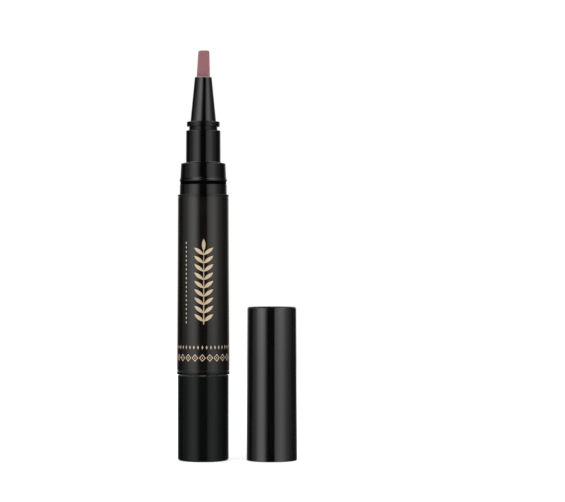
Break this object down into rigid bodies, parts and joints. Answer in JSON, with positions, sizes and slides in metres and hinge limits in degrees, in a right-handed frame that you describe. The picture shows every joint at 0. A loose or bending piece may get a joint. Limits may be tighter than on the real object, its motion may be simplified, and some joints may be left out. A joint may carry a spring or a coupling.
{
  "type": "twist-up gel brush pen",
  "caption": "Twist-up nail gel pen standing on its knob: round barrel, stepped collar and cone nozzle with a flat brush tip, its cap taken off and standing beside it.",
  "frame": {"origin": "centre of the knob's flat bottom, on the pen's axis", "axes": "+Z along the pen's axis towards the brush, +X towards the cap that stands beside the pen"},
  "size_m": [0.0366, 0.016, 0.1249],
  "materials": {
    "barrel": "gloss black",
    "label_sleeve": "satin warm black film",
    "drive_nut": "natural white moulded",
    "collar": "gloss black",
    "collar_seal": "dull red",
    "nozzle": "gloss black",
    "brush_holder": "natural white moulded",
    "feed_tube": "drawn tube",
    "brush_bristles": "fine filaments wet with rose gel",
    "knob": "gloss black, a little duller than the cap",
    "rotator": "natural white moulded",
    "click_ring": "cream moulded",
    "spindle": "natural white moulded",
    "piston": "milky soft",
    "cap_shell": "gloss black",
    "cap_liner": "natural white moulded"
  },
  "bodies": {
    "barrel": {"barrel": "barrel", "label_sleeve": "label_sleeve", "drive_nut": "drive_nut", "collar": "collar", "collar_seal": "collar_seal", "nozzle": "nozzle", "brush_holder": "brush_holder", "feed_tube": "feed_tube", "brush_bristles": "brush_bristles"},
    "knob": {"knob": "knob", "rotator": "rotator", "click_ring": "click_ring"},
    "spindle": {"spindle": "spindle"},
    "piston": {"piston": "piston"},
    "cap": {"cap_shell": "cap_shell", "cap_liner": "cap_liner"}
  },
  "joints": [
    {"name": "knob_turn", "type": "hinge", "parent": "barrel", "child": "knob", "pos_m": [0, 0, 0], "axis": [0, 0, 1], "range_deg": [0, 3475]},
    {"name": "spindle_feed", "type": "slide", "parent": "knob", "child": "spindle", "axis": [0, 0, 1], "range_m": [0, 0.029]},
    {"name": "piston_feed", "type": "slide", "parent": "barrel", "child": "piston", "axis": [0, 0, 1], "range_m": [0, 0.029]},
    {"name": "cap_lift", "type": "slide", "parent": "barrel", "child": "cap", "axis": [0, 0, 1], "range_m": [0, 0.13]}
  ],
  "couplings": [
    {"joint": "spindle_feed", "follows": "knob_turn", "m_per_rad": 0.00047746},
    {"joint": "piston_feed", "follows": "knob_turn", "m_per_rad": 0.00047746}
  ]
}
